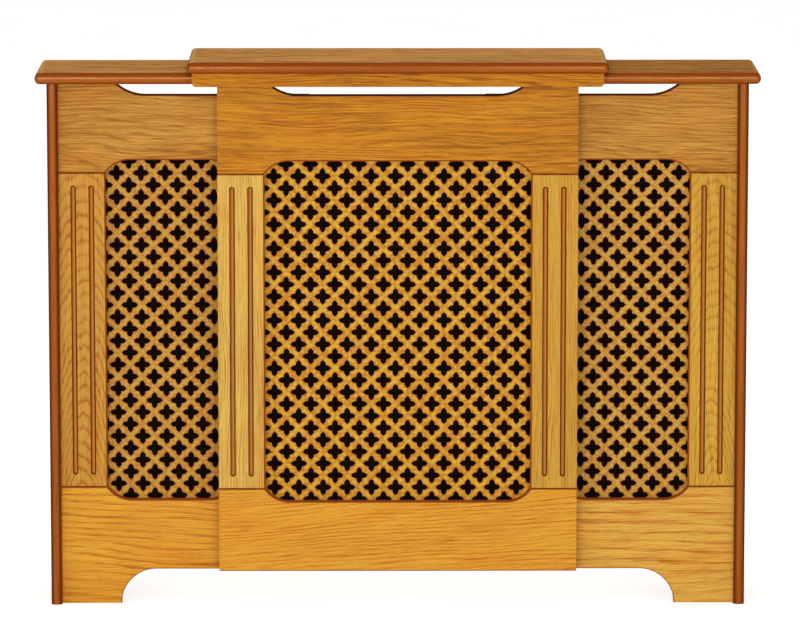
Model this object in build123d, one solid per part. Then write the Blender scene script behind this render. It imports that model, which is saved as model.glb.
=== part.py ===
"""Radiator cover cabinet of adjustable width, in oak-veneered board with stained oak lippings.

A centre unit (shelf, fascia and framed grille) overlaps two side units (end panel, shelf and
framed grille), which slide out from under it. X runs to the right, Y runs back to the wall and
Z runs up. The origin is on the floor, midway across the width and midway between the wall and
the nose of the centre shelf. All sizes are in millimetres.
"""

from build123d import *
from math import asin, ceil, cos, sin, sqrt
import os

os.makedirs("parts", exist_ok=True)

# ---- Driving sizes ----

height = 900.0  # floor to the top of the centre shelf
depth = 225.0  # wall to the nose of the centre shelf
span = 1140.0  # over the two end panels, as far apart as they stand at rest
board = 18.0  # shelves and end panels

lipping = 10.0  # width of the solid strip glued round an exposed board edge
nose_radius = 8.0  # rounding of a lipping, above and below
corner_radius = 9.0  # rounding of a shelf's corner, seen from above
overhang = 18.0  # how far a side shelf's nose stands beyond the end panel and its lipping

centre_shelf_width = 681.0
fascia_thickness = 15.0
fascia_setback = 9.0  # from the centre shelf's front nose
fascia_inset = 7.5  # from the centre shelf's end nose
fascia_corner = 4.0  # chamfer of the fascia's lower end corners

centre_frame_width = 586.0
frame_thickness = 18.0  # rails and stiles
frame_setback = 14.5  # side frame's face behind the end panel's nose
stile_width = 76.0
opening_bottom = 173.5  # floor to the lower edge of each grille opening
opening_drop = 164.5  # top of the cabinet to the upper edge of each grille opening
opening_rise = 21.0  # height of the curved corners, which are cut into the rails
opening_radius = 48.0
groove = 1.8  # bevel round the openings, which makes a V groove where rail and stile meet
plinth_height = 57.5  # air inlet under the frames, and radius of the curve into each foot
foot_width = 97.5

centre_slot_depth = 17.0  # warm air outlets in the top edges of the frames
side_slot_depth = 20.5
centre_slot_half = 161.0  # level part of the centre outlet, from its middle
side_slot_margin = 142.5  # from the level part of a side outlet to the end panel
slot_radius = 72.0

flute_width = 9.2
flute_depth = 2.5
flute_spacing = 29.5
flute_end_gap = 20.5
flute_taper = 35.0  # slope of a flute's sides, in degrees
flute_corner = 2.7  # rounds off a flute's ends

rebate_width = 12.0  # ledge cut in the back of a frame, round its opening
rebate_depth = 4.0
grille_thickness = 3.0
gauze_thickness = 0.6
hole_pitch = 39.6  # between holes of one row; the next row stands half a pitch across
hole_span = 27.0  # from tip to tip of a pierced hole
centre_pattern_rise = 298.5  # from an opening's lower edge to a row of holes
side_pattern_rise = 301.5
centre_pattern_shift = -3.8  # the boards are cut with no regard to the pattern
side_pattern_place = 379.2

travel_in = 83.0  # how far each side unit slides in from rest
travel_out = 100.0  # how far it slides out
least_overlap = 50.0  # side frame behind the centre frame, pulled right out

guide_height = 40.0  # bars that hold the side frames against the centre frame
guide_thickness = 12.0
guide_end_gap = 3.0
upper_guide_drop = 128.0  # top of the cabinet to the upper bar's lower edge
lower_guide_level = 90.0
spacer_gap = 10.0  # spacer block to a side frame pushed right in

tie_plate_thickness = 1.6
tie_plate_width = 40.0
tie_plate_inset = 20.0  # from the end of the centre frame
tie_plate_margin = 3.0  # plate set in from the faces of the fascia and of the frame

felt_thickness = 1.2
felt_width = 15.0
felt_margin = 10.0
felt_end_gap = 20.0

batten = 18.0  # square section of the corner batten and the shelf cleat
batten_foot_gap = 10.0
cleat_back_gap = 42.0
skirting_height = 120.0  # notch for the skirting board, low at the back of an end panel
skirting_depth = 20.0

bracket_thickness = 2.0
bracket_width = 30.0
bracket_leg = 40.0
bracket_place = 50.0  # from the end panel's inner face to the bracket's middle
bracket_corner = 5.0
bracket_hole_radius = 2.75
bracket_hole_spacing = 20.0

screw_radius = 1.8
screw_head_radius = 3.4
screw_bite = 12.0  # length of a screw in the piece it is driven into
screw_rim = 0.2  # straight edge of a screw's head, above the countersink
screw_sides = 6

# ---- Fits and clearances ----

sliding_gap = 0.3  # between flat faces that slide on each other
frame_gap = 1.5  # centre frame to the side frames behind it
guide_gap = 0.5  # side frames to the guide bars
fascia_gap = 1.0  # fascia to the side shelves' noses
meeting_gap = 1.0  # each side shelf to the middle, pushed right in
panel_clearance = 0.5  # grille and gauze in their rebate, each edge
housing_clearance = 0.2  # tie plate in the housing cut for it in the fascia's lower edge
screw_clearance = 0.15

# ---- Levels and places worked out from them ----

wall = depth / 2
centre_shelf_under = height - board
side_shelf_top = centre_shelf_under - felt_thickness - sliding_gap
side_shelf_under = side_shelf_top - board
tie_plate_top = side_shelf_under - sliding_gap
centre_frame_top = tie_plate_top - tie_plate_thickness
opening_top = height - opening_drop
stile_bottom = opening_bottom + opening_rise
stile_top = opening_top - opening_rise

centre_nose = -wall
fascia_front = centre_nose + fascia_setback
fascia_back = fascia_front + fascia_thickness
side_nose = fascia_back + fascia_gap
panel_nose = side_nose + overhang
side_face = panel_nose + frame_setback
side_back = side_face + frame_thickness
centre_back = side_face - frame_gap
centre_face = centre_back - frame_thickness
guide_face = side_back + guide_gap
guide_back = guide_face + guide_thickness

panel_outside = span / 2
panel_inside = panel_outside - board
centre_half = centre_frame_width / 2
side_frame_start = centre_half - least_overlap - travel_out
side_inner_end = side_frame_start + least_overlap + stile_width  # one stile shows, pulled right out
side_outer_start = panel_inside - stile_width
side_shelf_start = travel_in + meeting_gap
side_shelf_end = panel_outside + overhang
fascia_half = centre_shelf_width / 2 - fascia_inset

# ---- Shapes used more than once ----


def block(x0, x1, y0, y1, z0, z1):
    """Box between two corners."""
    corner = (Align.MIN, Align.MIN, Align.MIN)
    return Pos(x0, y0, z0) * Box(x1 - x0, y1 - y0, z1 - z0, align=corner)


def upright(face, front, thickness):
    """Face drawn in X and Z, given its thickness from the front plane towards the wall."""
    plane = Plane(origin=(0, front, 0), x_dir=(1, 0, 0), z_dir=(0, -1, 0))
    return extrude(plane * face, amount=-thickness)


def curve_run(rise, radius):
    """How far an arc goes sideways while it climbs by a rise from a level line."""
    return sqrt(2 * radius * abs(rise) - rise**2)


def easing(x, z, rise, radius, side):
    """Arc that leaves a level line at (x, z) towards one side, and climbs or drops by a rise."""
    run = curve_run(rise, radius)
    half_turn = asin(run / radius) / 2
    up = 1 if rise > 0 else -1
    middle = (x + side * radius * sin(half_turn), z + up * radius * (1 - cos(half_turn)))
    end = (x + side * run, z + rise)
    return ThreePointArc((x, z), middle, end), end


def opening_face(x0, x1):
    """Grille opening between two stiles, with its curved corners above and below."""
    run = curve_run(opening_rise, opening_radius)
    top_left, left_up = easing(x0 + run, opening_top, -opening_rise, opening_radius, -1)
    top_right, right_up = easing(x1 - run, opening_top, -opening_rise, opening_radius, 1)
    low_left, left_down = easing(x0 + run, opening_bottom, opening_rise, opening_radius, -1)
    low_right, right_down = easing(x1 - run, opening_bottom, opening_rise, opening_radius, 1)
    return make_face(
        [
            Line((x0 + run, opening_top), (x1 - run, opening_top)),
            top_right,
            Line(right_up, right_down),
            low_right,
            Line((x1 - run, opening_bottom), (x0 + run, opening_bottom)),
            low_left,
            Line(left_down, left_up),
            top_left,
        ]
    )


def rebate(x0, x1, back):
    """Ledge in the back of a frame, in which its grille and gauze sit."""
    low = opening_bottom - rebate_width
    high = opening_top + rebate_width
    return block(x0 - rebate_width, x1 + rebate_width, back - rebate_depth, back + 1, low, high)


def bevel_front(piece, front, wanted):
    """Bevel those edges of a piece's front face that a test on an edge's centre picks."""
    edges = piece.edges().filter_by_position(Axis.Y, front, front)
    return chamfer(edges.filter_by(lambda edge: wanted(edge.center())), groove)


def outlet_face(x0, x1, top, drop, ends):
    """Warm air outlet, level from x0 to x1, with a curve up to the frame's top at the given ends."""
    floor = top - drop
    edges = [Line((x0, floor), (x1, floor))]
    corners = {-1: (x0, top), 1: (x1, top)}
    for side, x in ((-1, x0), (1, x1)):
        if side in ends:
            arc, corners[side] = easing(x, floor, drop, slot_radius, side)
            edges.append(arc)
        else:
            edges.append(Line((x, floor), corners[side]))
    return make_face(edges + [Line(corners[-1], corners[1])])


def fluted_stile(x0, x1, front, opening_side, fluted):
    """Stile between the rails, bevelled at its ends and along the opening, with two flutes or none."""
    stile = block(x0, x1, front, front + frame_thickness, stile_bottom, stile_top)
    inner_edge = x1 if opening_side > 0 else x0
    outer_edge = x0 if opening_side > 0 else x1
    stile = bevel_front(stile, front, lambda at: abs(at.X - outer_edge) > 1)
    if fluted:
        length = stile_top - stile_bottom - 2 * flute_end_gap
        middle = ((x0 + x1) / 2, (stile_top + stile_bottom) / 2)
        for side in (-1, 1):
            place = Pos(middle[0] + side * flute_spacing / 2, middle[1])
            flute = Rectangle(flute_width, length)
            outline = place * chamfer(flute.vertices(), flute_corner)
            plane = Plane(origin=(0, front, 0), x_dir=(1, 0, 0), z_dir=(0, -1, 0))
            stile -= extrude(plane * outline, amount=-flute_depth, taper=flute_taper)
    ledge = rebate(*sorted((inner_edge, inner_edge + opening_side * stile_width)), front + frame_thickness)
    return stile - ledge


def panel_edges(x0, x1):
    """Left, right, lower and upper edge of a panel that sits in the rebate of an opening."""
    margin = rebate_width - panel_clearance
    return x0 - margin, x1 + margin, opening_bottom - margin, opening_top + margin


def grille_board(x0, x1, front, pattern_x, pattern_rise):
    """Pierced board in the rebate of an opening: rows of holes, each half a pitch from the next.

    A hole is drawn with straight sides from tip to tip of its four petals. The board is left
    whole where the frame would cut across a hole.
    """
    left, right, low, high = panel_edges(x0, x1)
    outline = Wire.make_polygon([(left, low), (right, low), (right, high), (left, high)])
    step, reach = hole_pitch / 2, hole_span / 2
    columns = range(ceil((x0 + reach - pattern_x) / step), int((x1 - reach - pattern_x) // step) + 1)
    pattern_z = opening_bottom + pattern_rise
    first_row = ceil((opening_bottom + reach - pattern_z) / step)
    last_row = int((opening_top - reach - pattern_z) // step)
    holes = []
    for row in range(first_row, last_row + 1):
        for column in columns:
            if (row + column) % 2 == 0:
                x, z = pattern_x + column * step, pattern_z + row * step
                tips = [(x + reach, z), (x, z + reach), (x - reach, z), (x, z - reach)]
                holes.append(Wire.make_polygon(tips))
    return upright(Face(outline, holes), front, grille_thickness)


def gauze_sheet(x0, x1, front):
    """Dark gauze stretched over the back of a grille board, of the same outline."""
    left, right, low, high = panel_edges(x0, x1)
    return block(left, right, front, front + gauze_thickness, low, high)


def nosed_shelf(x0, x1, front, bottom, ends):
    """Shelf with a rounded nose along its front and the given ends, and rounded corners there."""
    top = bottom + board
    shelf = block(x0, x1, front, wall, bottom, top)
    corners = shelf.edges().filter_by(Axis.Z).filter_by_position(Axis.Y, front, front)
    nosed_corners = [edge for edge in corners if (1 if edge.center().X > (x0 + x1) / 2 else -1) in ends]
    shelf = fillet(nosed_corners, corner_radius)
    plain = [wall_edge for wall_edge in shelf.edges() if abs(wall_edge.center().Y - wall) < 0.1]
    if -1 not in ends:
        plain += [edge for edge in shelf.edges() if abs(edge.center().X - x0) < 0.1]
    if 1 not in ends:
        plain += [edge for edge in shelf.edges() if abs(edge.center().X - x1) < 0.1]
    level = [edge for edge in shelf.edges() if abs(abs(edge.center().Z - bottom - board / 2) - board / 2) < 0.1]
    return fillet([edge for edge in level if edge not in plain], nose_radius)


def lipped_shelf(x0, x1, front, bottom, ends):
    """Shelf core and its lippings: the front strip runs the whole width, past the end strips."""
    top = bottom + board
    shelf = nosed_shelf(x0, x1, front, bottom, ends)
    core_left = x0 + lipping if -1 in ends else x0
    core_right = x1 - lipping if 1 in ends else x1
    inner = front + lipping
    pieces = {"core": shelf & block(core_left, core_right, inner, wall, bottom, top)}
    pieces["front"] = shelf & block(x0, x1, front, inner, bottom, top)
    for side, left, right in ((-1, x0, core_left), (1, core_right, x1)):
        if side in ends:
            pieces[side] = shelf & block(left, right, inner, wall, bottom, top)
    return pieces


def screw(origin, outward, length, clearance=0.0):
    """Countersunk screw with its head at an origin, or with a clearance the hole for it."""
    slope = screw_head_radius - screw_radius
    rim = RegularPolygon(screw_head_radius + clearance, screw_sides)
    head = extrude(rim, amount=-slope - screw_rim)
    head = chamfer(head.edges().group_by(Axis.Z)[0], slope)
    shank = extrude(RegularPolygon(screw_radius + clearance, screw_sides), amount=-length)
    return Plane(origin=origin, z_dir=outward) * (head + shank)


def join(pieces):
    """Identical small pieces kept as separate solids in one group."""
    return Compound(children=list(pieces))


# ---- Pieces ----

parts = {}

# Centre shelf, its lippings and the fascia under it

centre_shelf = lipped_shelf(
    -centre_shelf_width / 2, centre_shelf_width / 2, centre_nose, centre_shelf_under, (-1, 1)
)
parts["centre_shelf"] = centre_shelf["core"]
parts["centre_shelf_front_lipping"] = centre_shelf["front"]
parts["centre_shelf_left_lipping"] = centre_shelf[-1]
parts["centre_shelf_right_lipping"] = centre_shelf[1]

fascia = block(
    -fascia_half, fascia_half, fascia_front, fascia_back, centre_frame_top, centre_shelf_under
)
lower_ends = fascia.edges().filter_by(Axis.Y).group_by(Axis.Z)[0]
parts["centre_fascia"] = chamfer(lower_ends, fascia_corner)

felt_half = fascia_half - felt_end_gap
felt_places = {"front": side_nose + felt_margin, "rear": wall - felt_margin - felt_width}
for name, felt_front in felt_places.items():
    parts[f"{name}_felt_strip"] = block(
        -felt_half,
        felt_half,
        felt_front,
        felt_front + felt_width,
        centre_shelf_under - felt_thickness,
        centre_shelf_under,
    )

# Centre frame, its grille and its gauze

centre_opening = centre_half - stile_width
centre_cut = upright(opening_face(-centre_opening, centre_opening), centre_face, frame_thickness)
centre_ledge = rebate(-centre_opening, centre_opening, centre_back)
outlet = outlet_face(
    -centre_slot_half, centre_slot_half, centre_frame_top, centre_slot_depth, (-1, 1)
)

centre_top_rail = block(
    -centre_half, centre_half, centre_face, centre_back, stile_top, centre_frame_top
)
centre_top_rail -= centre_cut
centre_top_rail = bevel_front(centre_top_rail, centre_face, lambda at: at.Z < opening_top + 1)
centre_top_rail -= centre_ledge
centre_top_rail -= upright(outlet, centre_face, frame_thickness)

centre_bottom_rail = block(
    -centre_half, centre_half, centre_face, centre_back, plinth_height, stile_bottom
)
centre_bottom_rail -= centre_cut
centre_bottom_rail = bevel_front(centre_bottom_rail, centre_face, lambda at: at.Z > opening_bottom - 1)
centre_bottom_rail -= centre_ledge

parts["centre_left_stile"] = fluted_stile(-centre_half, -centre_opening, centre_face, 1, True)
parts["centre_right_stile"] = fluted_stile(centre_opening, centre_half, centre_face, -1, True)

grille_front = frame_thickness - rebate_depth  # behind a frame's face
parts["centre_grille"] = grille_board(
    -centre_opening,
    centre_opening,
    centre_face + grille_front,
    centre_pattern_shift,
    centre_pattern_rise,
)
parts["centre_gauze"] = gauze_sheet(
    -centre_opening, centre_opening, centre_face + grille_front + grille_thickness
)

# Guide bars behind the side frames, on spacer blocks screwed to the centre rails

spacer_half = side_frame_start - travel_in - spacer_gap
guide_half = centre_half - guide_end_gap
guide_screw_length = guide_back - centre_back + screw_bite
guide_levels = {"upper": height - upper_guide_drop, "lower": lower_guide_level}
guide_screws = []
guide_holes = []
for name, level in guide_levels.items():
    for side in (-1, 1):
        place = (side * spacer_half / 2, guide_back, level + guide_height / 2)
        guide_screws.append(screw(place, (0, 1, 0), guide_screw_length))
        guide_holes.append(screw(place, (0, 1, 0), guide_screw_length, screw_clearance))
    parts[f"{name}_guide_bar"] = (
        block(-guide_half, guide_half, guide_face, guide_back, level, level + guide_height) - guide_holes
    )
    parts[f"{name}_spacer_block"] = (
        block(-spacer_half, spacer_half, centre_back, guide_face, level, level + guide_height)
        - guide_holes
    )
parts["guide_screws"] = join(guide_screws)

# Tie plates, which join the fascia to the centre frame below the side shelves. Each is let into
# the fascia's lower edge, so that it doesn't show.

tie_front = fascia_front + tie_plate_margin
tie_back = centre_back - tie_plate_margin
tie_screws = []
for name, side in (("left", -1), ("right", 1)):
    middle = side * (centre_half - tie_plate_inset - tie_plate_width / 2)
    plate = block(
        middle - tie_plate_width / 2,
        middle + tie_plate_width / 2,
        tie_front,
        tie_back,
        centre_frame_top,
        tie_plate_top,
    )
    housing = block(
        middle - tie_plate_width / 2 - housing_clearance,
        middle + tie_plate_width / 2 + housing_clearance,
        tie_front - housing_clearance,
        fascia_back,
        centre_frame_top,
        tie_plate_top,
    )
    fascia_screw = ((middle, (fascia_front + fascia_back) / 2, centre_frame_top), (0, 0, -1))
    frame_screw = ((middle, (centre_face + centre_back) / 2, tie_plate_top), (0, 0, 1))
    length = tie_plate_thickness + screw_bite
    tie_screws += [screw(*fascia_screw, length), screw(*frame_screw, length)]
    fascia_hole = screw(*fascia_screw, length, screw_clearance)
    frame_hole = screw(*frame_screw, length, screw_clearance)
    parts[f"{name}_tie_plate"] = plate - [fascia_hole, frame_hole]
    parts["centre_fascia"] -= [housing, fascia_hole]
    centre_top_rail -= frame_hole
parts["tie_plate_screws"] = join(tie_screws)
parts["centre_top_rail"] = centre_top_rail - guide_holes
parts["centre_bottom_rail"] = centre_bottom_rail - guide_holes

# Side unit, drawn on the right and mirrored for the left

side_unit = {}

side_shelf = lipped_shelf(side_shelf_start, side_shelf_end, side_nose, side_shelf_under, (1,))
side_unit["shelf"] = side_shelf["core"]
side_unit["shelf_front_lipping"] = side_shelf["front"]
side_unit["shelf_end_lipping"] = side_shelf[1]

skirting_notch = block(
    panel_inside - 1, panel_outside + 1, wall - skirting_depth, wall + 1, -1, skirting_height
)
panel = block(panel_inside, panel_outside, panel_nose + lipping, wall, 0, side_shelf_under)
side_unit["end_panel"] = panel - skirting_notch
panel_lipping = block(
    panel_inside, panel_outside, panel_nose, panel_nose + lipping, 0, side_shelf_under
)
front_edges = panel_lipping.edges().filter_by(Axis.Z).group_by(Axis.Y)[0]
side_unit["end_panel_lipping"] = fillet(front_edges, nose_radius)

side_cut = upright(opening_face(side_inner_end, side_outer_start), side_face, frame_thickness)
side_ledge = rebate(side_inner_end, side_outer_start, side_back)
side_outlet = outlet_face(
    side_frame_start, panel_inside - side_slot_margin, side_shelf_under, side_slot_depth, (1,)
)
top_rail = block(side_frame_start, panel_inside, side_face, side_back, stile_top, side_shelf_under)
top_rail -= side_cut
top_rail = bevel_front(top_rail, side_face, lambda at: at.Z < opening_top + 1)
side_unit["top_rail"] = top_rail - side_ledge - upright(side_outlet, side_face, frame_thickness)

foot_start = panel_inside - foot_width
arch_curve, arch_start = easing(foot_start - plinth_height, plinth_height, -plinth_height, plinth_height, 1)
arch = make_face(
    [
        Line((side_frame_start, 0), (side_frame_start, plinth_height)),
        Line((side_frame_start, plinth_height), (foot_start - plinth_height, plinth_height)),
        arch_curve,
        Line(arch_start, (side_frame_start, 0)),
    ]
)
bottom_rail = block(side_frame_start, panel_inside, side_face, side_back, 0, stile_bottom)
bottom_rail -= side_cut
bottom_rail = bevel_front(bottom_rail, side_face, lambda at: at.Z > opening_bottom - 1)
side_unit["bottom_rail"] = bottom_rail - side_ledge - upright(arch, side_face, frame_thickness)

side_unit["inner_stile"] = fluted_stile(side_frame_start, side_inner_end, side_face, 1, False)
side_unit["outer_stile"] = fluted_stile(side_outer_start, panel_inside, side_face, -1, True)

side_unit["grille"] = grille_board(
    side_inner_end,
    side_outer_start,
    side_face + grille_front,
    side_pattern_place,
    side_pattern_rise,
)
side_unit["gauze"] = gauze_sheet(
    side_inner_end, side_outer_start, side_face + grille_front + grille_thickness
)

# Battens inside the corner and under the shelf

batten_start = panel_inside - batten
side_unit["corner_batten"] = block(
    batten_start, panel_inside, side_back, side_back + batten, batten_foot_gap, side_shelf_under
)
side_unit["shelf_cleat"] = block(
    batten_start,
    panel_inside,
    side_back + batten,
    wall - cleat_back_gap,
    side_shelf_under - batten,
    side_shelf_under,
)

# Wall bracket under the shelf, with two holes for screws into the wall

bracket_middle = panel_inside - bracket_place
bracket_left = bracket_middle - bracket_width / 2
bracket_right = bracket_middle + bracket_width / 2
bracket_under = side_shelf_under - bracket_thickness
level_leg = block(
    bracket_left, bracket_right, wall - bracket_leg, wall, bracket_under, side_shelf_under
)
wall_leg = block(
    bracket_left,
    bracket_right,
    wall - bracket_thickness,
    wall,
    side_shelf_under - bracket_leg,
    bracket_under,
)
level_leg = chamfer(level_leg.edges().filter_by(Axis.Z).group_by(Axis.Y)[0], bracket_corner)
wall_leg = chamfer(wall_leg.edges().filter_by(Axis.Y).group_by(Axis.Z)[0], bracket_corner)
bracket = level_leg + wall_leg
hole_middle = side_shelf_under - (bracket_leg + bracket_thickness) / 2
for end in (-1, 1):
    hole_level = hole_middle + end * bracket_hole_spacing / 2
    hole = Cylinder(bracket_hole_radius, 2 * bracket_thickness, rotation=(90, 0, 0))
    bracket -= Pos(bracket_middle, wall - bracket_thickness / 2, hole_level) * hole

bracket_screws = []
for side in (-1, 1):
    place = (
        bracket_middle + side * bracket_width / 4,
        wall - (bracket_leg + bracket_thickness) / 2,
        bracket_under,
    )
    length = bracket_thickness + screw_bite
    bracket_screws.append(screw(place, (0, 0, -1), length))
    bracket_hole = screw(place, (0, 0, -1), length, screw_clearance)
    bracket -= bracket_hole
    side_unit["shelf"] -= bracket_hole
side_unit["wall_bracket"] = bracket
side_unit["bracket_screws"] = join(bracket_screws)

for name, piece in side_unit.items():
    parts[f"right_{name}"] = piece
    parts[f"left_{name}"] = mirror(piece, about=Plane.YZ)

for name, piece in parts.items():
    export_step(piece, f"parts/{name}.step")
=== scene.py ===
"""Looks of an oak radiator cover cabinet of adjustable width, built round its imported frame.

Places and sizes are in metres, in the frame's own axes: X to the right, Y back to the wall, Z up.
"""

from math import asin, atan2, pi, radians, sqrt

import bmesh
import bpy
import numpy as np
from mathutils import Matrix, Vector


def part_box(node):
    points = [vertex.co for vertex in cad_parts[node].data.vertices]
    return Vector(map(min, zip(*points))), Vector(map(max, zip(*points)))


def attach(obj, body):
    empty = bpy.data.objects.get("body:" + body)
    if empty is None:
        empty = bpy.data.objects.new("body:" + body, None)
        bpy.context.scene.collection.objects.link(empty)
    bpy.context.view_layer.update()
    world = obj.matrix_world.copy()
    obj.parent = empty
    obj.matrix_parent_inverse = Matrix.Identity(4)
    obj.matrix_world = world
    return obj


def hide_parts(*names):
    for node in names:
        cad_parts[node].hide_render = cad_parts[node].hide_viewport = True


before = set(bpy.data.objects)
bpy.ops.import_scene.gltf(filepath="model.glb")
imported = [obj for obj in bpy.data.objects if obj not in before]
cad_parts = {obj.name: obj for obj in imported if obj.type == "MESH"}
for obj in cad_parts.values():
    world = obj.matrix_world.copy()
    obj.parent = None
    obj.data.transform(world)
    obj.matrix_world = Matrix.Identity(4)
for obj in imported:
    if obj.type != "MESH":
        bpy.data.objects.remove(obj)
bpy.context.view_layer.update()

# ---- Sizes of the frames ----

MM = 0.001
FACES = {side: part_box(f"{side}_top_rail")[0].y for side in ("centre", "left", "right")}

OPENING_MIDDLE, OPENING_HALF = 454.5 * MM, 281.0 * MM  # level and half height of the openings
OPENING_RADIUS, OPENING_RUN = 48.0 * MM, 39.7 * MM  # of their corners: radius, length along X
OPENINGS = {  # middle and half width of each opening
    "centre": (0.0, 217.0 * MM),
    "left": (-372.5 * MM, 103.5 * MM),
    "right": (372.5 * MM, 103.5 * MM),
}
OUTLET_RADIUS = 72.0 * MM  # of the curves at the ends of a warm air outlet
OUTLETS = {  # middle, half width and level of the outlets' level parts
    "centre": (0.0, 161.0 * MM, 843.6 * MM),
    "left": (-209.5 * MM, 200.0 * MM, 842.0 * MM),
    "right": (209.5 * MM, 200.0 * MM, 842.0 * MM),
}
PLINTH_HEIGHT = 57.5 * MM  # and radius of the curve into each foot
PLINTHS = {  # middle and half width of the air inlets' level parts; the centre frame has no foot
    "centre": (0.0, 1000.0 * MM),
    "left": (-197.0 * MM, 200.0 * MM),
    "right": (197.0 * MM, 200.0 * MM),
}
NO_SIDE = 1.0  # for an outline that no plain side cuts: a place beyond the cabinet
OPENING_BEVEL, OUTLET_BEVEL, PLINTH_BEVEL = 1.8 * MM, 1.2 * MM, 0.8 * MM

FLUTE_SPACING = 29.5 * MM  # between the middles of a stile's two flutes
FLUTE_HALF = 239.5 * MM  # half of a flute's length
FLUTE_REACH = 5.4 * MM  # half of a flute's width, with the stain that creeps past it

# ---- Node helpers ----


def feed(tree, node, sockets):
    """Feeds or sets a node's inputs, which are given by name or by number."""
    for key, value in sockets.items():
        if isinstance(value, bpy.types.NodeSocket):
            tree.links.new(value, node.inputs[key])
        else:
            node.inputs[key].default_value = value


def put(tree, kind, sockets=(), **settings):
    """Adds a shader node, with its settings, and feeds or sets the sockets that are given."""
    made = tree.nodes.new("ShaderNode" + kind)
    for name, value in settings.items():
        setattr(made, name, value)
    feed(tree, made, dict(sockets))
    return made


def calc(tree, operation, *values, clamp=False):
    """One step of arithmetic on sockets or numbers."""
    made = put(tree, "Math", dict(enumerate(values)), operation=operation, use_clamp=clamp)
    return made.outputs[0]


def vector_calc(tree, operation, *values):
    """One step of arithmetic on vectors."""
    return put(tree, "VectorMath", dict(enumerate(values)), operation=operation).outputs[0]


def ramp(tree, value, low, high):
    """Rises smoothly from 0 at low to 1 at high."""
    sockets = {"Value": value, "From Min": low, "From Max": high}
    return put(tree, "MapRange", sockets, interpolation_type="SMOOTHSTEP").outputs[0]


def mix(tree, share, first, second, blend="MIX"):
    """Mixes two colours."""
    made = put(tree, "Mix", {0: share, 6: first, 7: second}, data_type="RGBA", blend_type=blend)
    return made.outputs[2]


def noise(tree, vector, scale=1.0, detail=2.0, rough=0.5):
    """Fractal noise about 0.5."""
    sockets = {"Vector": vector, "Scale": scale, "Detail": detail, "Roughness": rough}
    return put(tree, "TexNoise", sockets).outputs[0]


def drawn_noise(tree, vector, spots, detail=2.0, rough=0.5):
    """Fractal noise with that many spots to the metre along each of the vector's axes."""
    return noise(tree, vector_calc(tree, "MULTIPLY", vector, spots), detail=detail, rough=rough)


def stain(red, green, blue):
    """Linear colour of a tone that is given as it shows on a screen, 0 to 255."""
    shown = np.array([red, green, blue]) / 255
    linear = np.where(shown > 0.04045, ((shown + 0.055) / 1.055) ** 2.4, shown / 12.92)
    return (*linear.tolist(), 1.0)


def start_group(name, inputs, outputs):
    """New node group with named sockets: (tree, the group's inputs, its output node)."""
    tree = bpy.data.node_groups.new(name, "ShaderNodeTree")
    kinds = {"vector": "NodeSocketVector", "number": "NodeSocketFloat", "colour": "NodeSocketColor"}
    for direction, sockets in (("INPUT", inputs), ("OUTPUT", outputs)):
        for socket, kind in sockets.items():
            tree.interface.new_socket(name=socket, in_out=direction, socket_type=kinds[kind])
    entry = tree.nodes.new("NodeGroupInput")
    return tree, entry.outputs, tree.nodes.new("NodeGroupOutput")


def use_group(tree, group, sockets):
    """Places a node group, and feeds or sets its sockets."""
    return put(tree, "Group", sockets, node_tree=group).outputs


# ---- Effects that several finishes use ----

# Noises of the veneer: spots to the metre along the grain, across it and into the board
SWAY_SPOTS = (3.5, 12, 12)  # slow bends of the grain
WOBBLE_SPOTS = (8, 70, 70)  # unevenness of the rings
RING_SPOTS = 4.0  # changes of a ring's strength, along the grain
STREAK_SPOTS = (13, 470, 470)
CLOUD_SPOTS = (2.6, 14, 14)  # paler and darker parts
PORE_SPOTS = (30, 900, 900)
FLUSH_SPOTS = (6, 24, 24)  # redder parts
PORE_TINT = (0.6, 0.42, 0.26, 1)  # of a pore, over the dark tone
FLUSH_TINT = (1.04, 0.84, 0.62, 1)  # of the redder parts, over the veneer


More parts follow.
